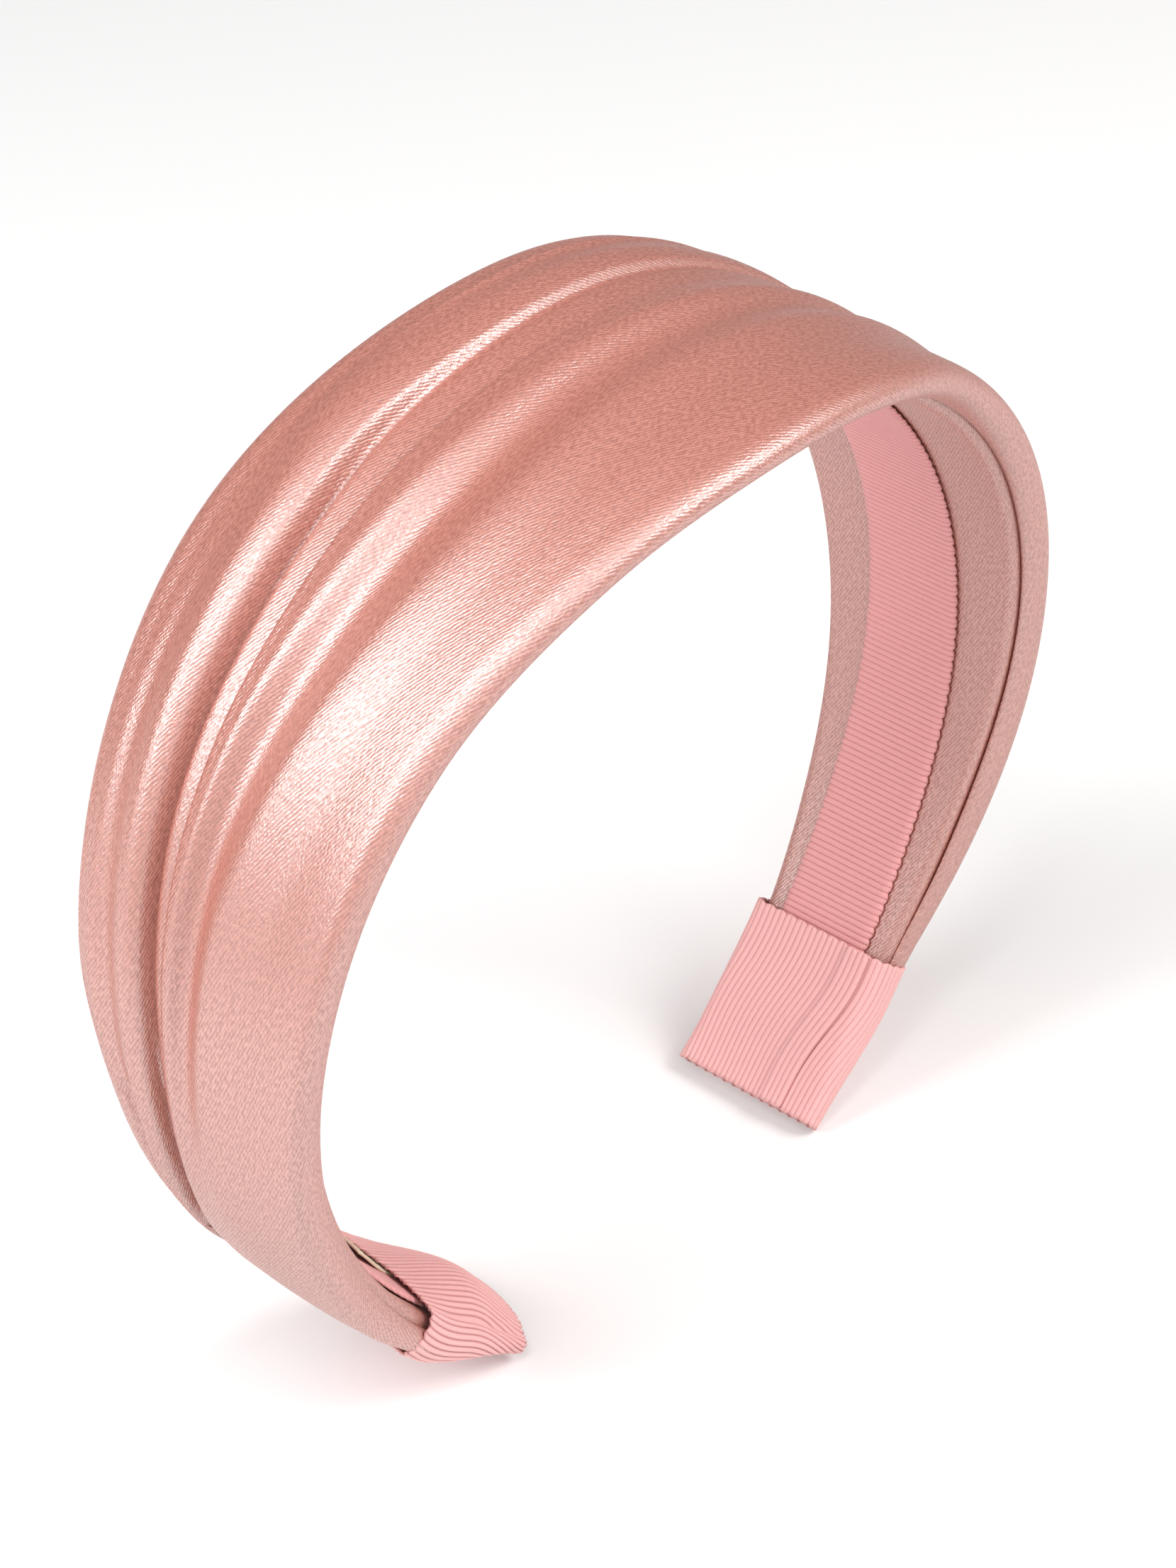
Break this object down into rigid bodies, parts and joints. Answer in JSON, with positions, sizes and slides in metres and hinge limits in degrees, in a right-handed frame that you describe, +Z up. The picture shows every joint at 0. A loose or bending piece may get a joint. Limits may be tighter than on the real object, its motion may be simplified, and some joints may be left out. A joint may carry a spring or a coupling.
{
  "type": "hairband",
  "caption": "Wide arched hairband: padded satin draped in long pleats over a sprung hoop, with a ribbed ribbon lining and ribbon caps on both tips.",
  "frame": {"origin": "centre of the bounding box's base, on the surface that the two tips stand on", "axes": "+X towards the right arm of the hoop, -Y towards the front edge, +Z up through the crown"},
  "size_m": [0.1494, 0.0572, 0.1413],
  "materials": {
    "core_plastic": "milky moulded plastic strip",
    "padding_foam": "soft open-cell foam",
    "inner_satin": "woven satin, rose, seen in shade",
    "outer_satin": "woven satin, rose pink, glossy along its folds",
    "lining_ribbon": "ribbed grosgrain ribbon, pink",
    "cap_ribbon": "ribbed grosgrain ribbon, pink, ribs along the tip",
    "tab_cloth": "plain cream cloth, blank"
  },
  "bodies": {
    "root": {"band_core": "core_plastic", "foam_pad": "padding_foam", "inner_cover": "inner_satin", "outer_drape": "outer_satin", "lining_ribbon": "lining_ribbon", "end_cap_left": "cap_ribbon", "end_cap_right": "cap_ribbon", "label_tab": "tab_cloth"}
  },
  "joints": []
}
